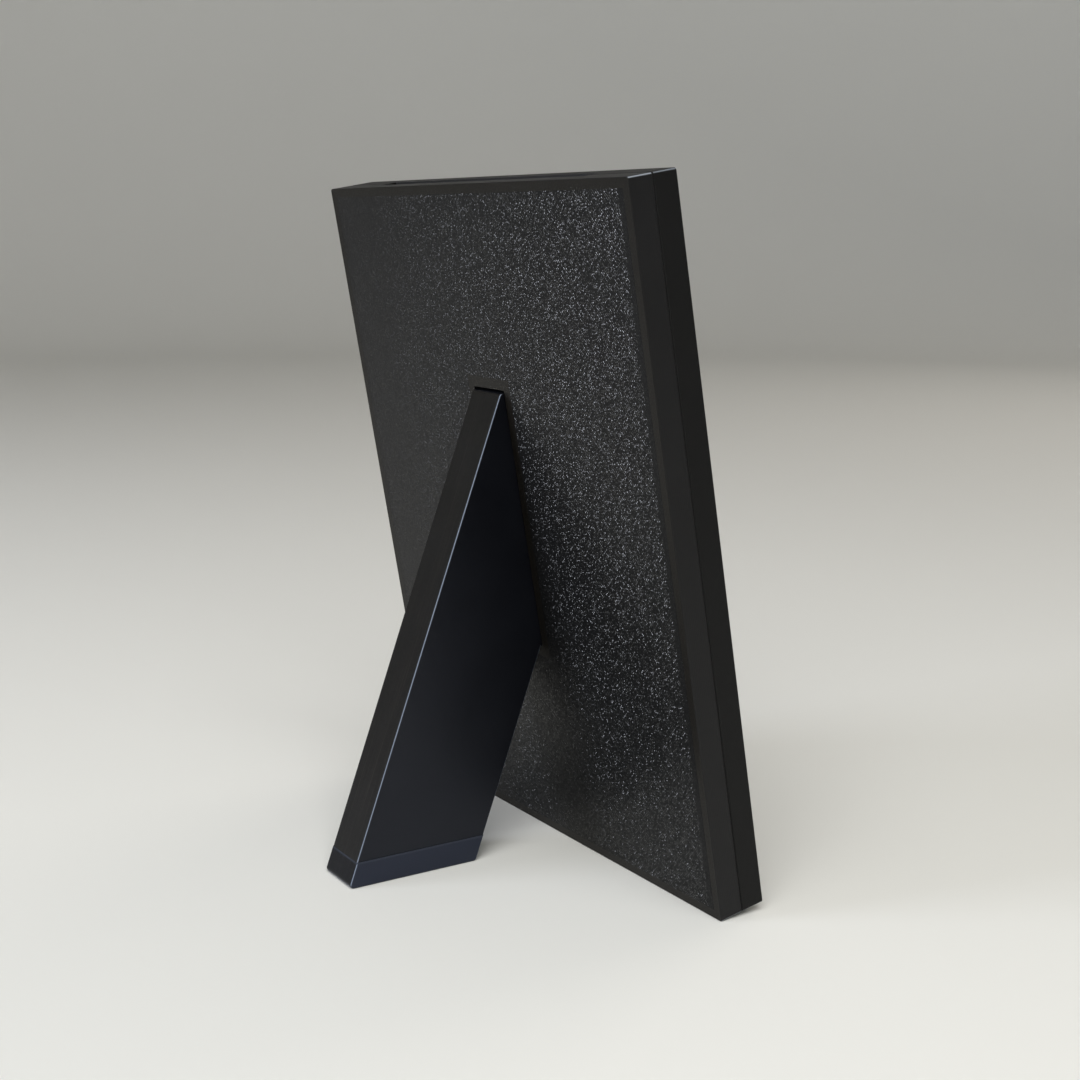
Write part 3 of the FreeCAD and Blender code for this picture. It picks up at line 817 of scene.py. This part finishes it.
# %% A printed face
def print_face(node, wall, depth, outward, rim, hole, rim_loops, hole_loops):
    """A copy of a CAD node whose flat face at one depth has its printed lines."""
    rings = (
        Ring(HALF_WIDTH - rim, rim, HEIGHT - rim, grows=-1, loops=rim_loops),
        Ring(*hole, grows=1, loops=hole_loops),
    )
    mesh = bmesh.new()
    mesh.from_mesh(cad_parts[node].data)
    bmesh.ops.transform(mesh, matrix=TO_PANEL, verts=mesh.verts)
    bmesh.ops.remove_doubles(mesh, verts=mesh.verts, dist=ON_PLANE)
    split_off_rings(mesh, depth, rings)
    for ring in rings:
        cut_loops(mesh, depth, ring)
    cut_filling(mesh, depth, rings)

    skin = flat_faces(mesh, depth)
    for corner in dict.fromkeys(corner for face in skin for corner in face.verts):
        corner.co.y = depth - outward * groove_depth(corner.co, rings)
    for face in mesh.faces:
        face.smooth = True
        face.material_index = finish_number(face, depth, rings)
    bmesh.ops.transform(mesh, matrix=PANEL, verts=mesh.verts)

    printed = bpy.data.meshes.new("printed_" + node)
    mesh.to_mesh(printed)
    mesh.free()
    for material in (bed_side, loops, wall, top_side):
        printed.materials.append(material)
    even_normals(printed, outward)
    piece = bpy.data.objects.new("printed_" + node, printed)
    bpy.context.scene.collection.objects.link(piece)
    print(piece.name, "has", len(printed.polygons), "faces,", len(skin), "of them on the printed face")
    return piece


# %% [markdown]
# ## Black PLA, the top of a print
#
# The joint faces and the pockets were the last layers, so nothing pressed them flat. Their lines run at
# 45 degrees too, but rounder and more even in shine. They are only seen when the frame is open.

# %% Top side
top_side, shader = new_material("black_pla_top_side")
axes = panel_axes(top_side)
slanted = add_node(
    top_side, "Mapping", {"Vector": axes, "Rotation": (0, LINES_TURNED, 0)}, vector_type="TEXTURE",
)
ridges = add_node(
    top_side, "TexWave",
    {"Vector": slanted.outputs["Vector"], "Scale": math.pi / 10 / LINE_WIDTH, "Distortion": 0.2},
    wave_type="BANDS", bands_direction="X",
)
swing = add_node(top_side, "MapRange", {0: ridges.outputs["Fac"], 1: 0, 2: 1, 3: -0.5, 4: 0.5}).outputs[0]
ridge = add_node(top_side, "VectorMath", {0: (0.7, 0.0, -0.7), "Scale": swing}, operation="SCALE")
normal = lean_normal(top_side, ridge.outputs["Vector"], 0.5)
top_side.node_tree.links.new(normal.outputs["Vector"], shader.inputs["Normal"])
shader.inputs["Base Color"].default_value = linear("#171718")
shader.inputs["Roughness"].default_value = 0.4
shader.inputs["IOR"].default_value = PLA_IOR
print("top side has", len(top_side.node_tree.nodes), "nodes")

# %% Print the two halves
window_edge = (WINDOW[0] + WINDOW_BEVEL, WINDOW[1] - WINDOW_BEVEL, WINDOW[2] + WINDOW_BEVEL)
printed_back = print_face(
    "back_shell", back_wall, depth=0.0, outward=1, rim=BACK_RIM, hole=SOCKET, rim_loops=4, hole_loops=5,
)
printed_bezel = print_face(
    "front_bezel", bezel_wall, depth=-2 * SHELL_DEPTH, outward=-1, rim=FRONT_RIM, hole=window_edge,
    rim_loops=4, hole_loops=4,
)
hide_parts("back_shell")
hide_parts("front_bezel")
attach(printed_back, "back")
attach(printed_bezel, "bezel")

# %% [markdown]
# ## Clear acrylic, for the glazing sheet
#
# A picture frame this light has a plastic sheet in place of glass. Acrylic bends light nearly as much as
# glass. Handling leaves faint smears, which are patches that are a little rougher than the rest.

# %% Acrylic
SMEAR = 9
RIPPLE = 20
RIPPLE_LEAN = 0.004

acrylic, shader = new_material("clear_acrylic")
axes = panel_axes(acrylic)
smears = add_node(acrylic, "TexNoise", {"Vector": axes, "Scale": 1 / SMEAR, "Detail": 4.0, "Distortion": 1.5})
haze = add_node(
    acrylic, "MapRange", {0: smears.outputs["Fac"], 1: 0.5, 2: 0.8, 3: 0.01, 4: 0.07},
).outputs[0]
acrylic.node_tree.links.new(haze, shader.inputs["Roughness"])
ripple = add_node(acrylic, "TexNoise", {"Vector": axes, "Scale": 1 / RIPPLE})
normal = lean_at_random(acrylic, ripple.outputs["Color"], RIPPLE_LEAN)
acrylic.node_tree.links.new(normal.outputs["Vector"], shader.inputs["Normal"])
shader.inputs["Base Color"].default_value = linear("#fbfdfd")
shader.inputs["Transmission Weight"].default_value = 1.0
shader.inputs["IOR"].default_value = 1.49
print("acrylic has", len(acrylic.node_tree.nodes), "nodes")

# %% [markdown]
# ## The picture
#
# Nothing of the picture can be seen from behind, so this one is made up: a pale sky over rows of hills, in a
# white border. Each ridge is a noise that is read along X only and compared with the height. The hills are
# laid from the furthest to the nearest, and each row is darker and greener than the one behind it. Paper has
# a soft sheen and a very fine tooth.

# %% The picture's size and its sky
def extent(node_name):
    """The smallest and largest place of a CAD node in the frame's own axes, in millimetres."""
    places = [TO_PANEL @ corner.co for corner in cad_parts[node_name].data.vertices]
    low = Vector(min(place[axis] for place in places) for axis in range(3))
    high = Vector(max(place[axis] for place in places) for axis in range(3))
    return low, high


picture, shader = new_material("printed_photo_paper")
axes = panel_axes(picture)
place = add_node(picture, "SeparateXYZ", {"Vector": axes})
low, high = extent("photo_print")
print("picture is", round(high.x - low.x, 1), "by", round(high.z - low.z, 1), "mm")
sky_height = add_node(
    picture, "MapRange", {0: place.outputs["Z"], 1: low.z + 0.5 * (high.z - low.z), 2: high.z},
).outputs[0]
image = add_node(
    picture, "Mix", {0: sky_height, 6: linear("#f3dfc6"), 7: linear("#7fa6cf")}, data_type="RGBA",
).outputs[2]
print("sky has", len(picture.node_tree.nodes), "nodes")

# %% Hills
RIDGES = (
    # share of the height, how high its hills are, how wide, colour
    (0.56, 9.0, 26.0, "#a9bccb"),
    (0.47, 10.0, 20.0, "#86a1ab"),
    (0.37, 11.0, 24.0, "#648583"),
    (0.26, 12.0, 17.0, "#466a5c"),
    (0.13, 12.0, 22.0, "#2d4a3c"),
)
ROW_APART = 100.0           # each row reads its noise this far from the last row's
EDGE_BLUR = 0.15            # of a hill against what is behind it

for number, (share, rise, width, colour) in enumerate(RIDGES):
    along = add_node(
        picture, "CombineXYZ", {"X": place.outputs["X"], "Y": ROW_APART * (number + 1), "Z": 0.0},
    )
    ridge = add_node(
        picture, "TexNoise", {"Vector": along.outputs["Vector"], "Scale": 1 / width, "Detail": 5.0},
    )
    foot_line = low.z + share * (high.z - low.z) - 0.5 * rise
    ridge_line = add_node(
        picture, "MapRange",
        {0: ridge.outputs["Fac"], 1: 0.2, 2: 0.8, 3: foot_line, 4: foot_line + 2 * rise},
    ).outputs[0]
    above = add_node(picture, "Math", {0: place.outputs["Z"], 1: ridge_line}, operation="SUBTRACT")
    hidden = add_node(picture, "MapRange", {0: above.outputs[0], 1: EDGE_BLUR, 2: -EDGE_BLUR}).outputs[0]
    image = add_node(picture, "Mix", {0: hidden, 6: image, 7: linear(colour)}, data_type="RGBA").outputs[2]
print("sky and", len(RIDGES), "rows of hills have", len(picture.node_tree.nodes), "nodes")

# %% The white border and the plain back
BORDER = 4.0
BORDER_BLUR = 0.1

half_width = add_node(picture, "Math", {0: place.outputs["X"]}, operation="ABSOLUTE")
from_middle = add_node(
    picture, "Math", {0: place.outputs["Z"], 1: (low.z + high.z) / 2}, operation="SUBTRACT",
)
half_height = add_node(picture, "Math", {0: from_middle.outputs[0]}, operation="ABSOLUTE")
side_border = add_node(
    picture, "MapRange", {0: half_width.outputs[0], 1: high.x - BORDER, 2: high.x - BORDER + BORDER_BLUR},
).outputs[0]
end_starts = (high.z - low.z) / 2 - BORDER
end_border = add_node(
    picture, "MapRange", {0: half_height.outputs[0], 1: end_starts, 2: end_starts + BORDER_BLUR},
).outputs[0]
border = add_node(picture, "Math", {0: side_border, 1: end_border}, operation="MAXIMUM")
framed = add_node(
    picture, "Mix", {0: border.outputs[0], 6: image, 7: linear("#f2f1ec")}, data_type="RGBA",
).outputs[2]
facing = add_node(
    picture, "VectorMath", {0: add_node(picture, "NewGeometry").outputs["Normal"], 1: OUT_OF_BACK},
    operation="DOT_PRODUCT",
)
on_back = add_node(picture, "MapRange", {0: facing.outputs["Value"], 1: -0.6, 2: -0.4}).outputs[0]
printed = add_node(
    picture, "Mix", {0: on_back, 6: framed, 7: linear("#efeee9")}, data_type="RGBA",
).outputs[2]
picture.node_tree.links.new(printed, shader.inputs["Base Color"])
print("border is", BORDER, "mm wide")

# %% The paper's tooth and sheen
PAPER_TOOTH = 0.3
tooth = add_node(picture, "TexNoise", {"Vector": axes, "Scale": 1 / PAPER_TOOTH, "Detail": 2.0})
normal = lean_at_random(picture, tooth.outputs["Color"], 0.08)
picture.node_tree.links.new(normal.outputs["Vector"], shader.inputs["Normal"])
sheen = add_node(
    picture, "MapRange", {0: tooth.outputs["Fac"], 1: 0.3, 2: 0.7, 3: 0.28, 4: 0.36},
).outputs[0]
picture.node_tree.links.new(sheen, shader.inputs["Roughness"])
print("picture has", len(picture.node_tree.nodes), "nodes")

# %% [markdown]
# ## Grey board, for the card behind the picture
#
# Grey board is pressed from waste paper. Its fibres are short and lie all ways, with darker and lighter
# flecks among them, and it has no shine.

# %% Grey board
FIBRE = 0.5
PULP_CLOUD = 6

board, shader = new_material("grey_board")
axes = panel_axes(board)
fibres = add_node(board, "TexNoise", {"Vector": axes, "Scale": 1 / FIBRE, "Detail": 4.0, "Distortion": 2.0})
pulp = add_node(board, "TexNoise", {"Vector": axes, "Scale": 1 / PULP_CLOUD, "Detail": 3.0})
tone = add_node(
    board, "Mix", {0: pulp.outputs["Fac"], 6: linear("#6f6c67"), 7: linear("#87837c")}, data_type="RGBA",
).outputs[2]
flecks = add_node(board, "MapRange", {0: fibres.outputs["Fac"], 1: 0.6, 2: 0.72, 3: 0, 4: 0.7}).outputs[0]
flecked = add_node(board, "Mix", {0: flecks, 6: tone, 7: linear("#4f4c48")}, data_type="RGBA").outputs[2]
board.node_tree.links.new(flecked, shader.inputs["Base Color"])
normal = lean_at_random(board, fibres.outputs["Color"], 0.35)
board.node_tree.links.new(normal.outputs["Vector"], shader.inputs["Normal"])
rough = add_node(board, "MapRange", {0: fibres.outputs["Fac"], 1: 0.3, 2: 0.7, 3: 0.8, 4: 0.95}).outputs[0]
board.node_tree.links.new(rough, shader.inputs["Roughness"])
print("grey board has", len(board.node_tree.nodes), "nodes")

# %% [markdown]
# ## Nickel plate, for the magnets
#
# Disc magnets are plated with nickel, a warm silvery metal. Tumbling together in the box leaves fine random
# scratches, so the roughness varies and the normal wavers.

# %% Nickel
SCUFF = 0.6

nickel, shader = new_material("nickel_plate")
axes = panel_axes(nickel)
scuffs = add_node(nickel, "TexNoise", {"Vector": axes, "Scale": 1 / SCUFF, "Detail": 5.0, "Distortion": 3.0})
dull = add_node(
    nickel, "Mix", {0: scuffs.outputs["Fac"], 6: linear("#bdb8ae"), 7: linear("#cfcac0")}, data_type="RGBA",
).outputs[2]
nickel.node_tree.links.new(dull, shader.inputs["Base Color"])
gloss = add_node(
    nickel, "MapRange", {0: scuffs.outputs["Fac"], 1: 0.35, 2: 0.65, 3: 0.16, 4: 0.34},
).outputs[0]
nickel.node_tree.links.new(gloss, shader.inputs["Roughness"])
normal = lean_at_random(nickel, scuffs.outputs["Color"], 0.04)
nickel.node_tree.links.new(normal.outputs["Vector"], shader.inputs["Normal"])
shader.inputs["Metallic"].default_value = 1.0
print("nickel has", len(nickel.node_tree.nodes), "nodes")

# %% Give the materials to the CAD nodes that stay
def dress(node_name, material):
    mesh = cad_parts[node_name].data
    mesh.materials.clear()
    mesh.materials.append(material)


dress("easel_leg", leg_pla)
dress("leg_foot", tpu)
dress("glazing_sheet", acrylic)
dress("photo_print", picture)
dress("backing_card", board)
magnets = [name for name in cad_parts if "magnet" in name]
for name in magnets:
    dress(name, nickel)
print(len(magnets), "magnets are nickel plated")
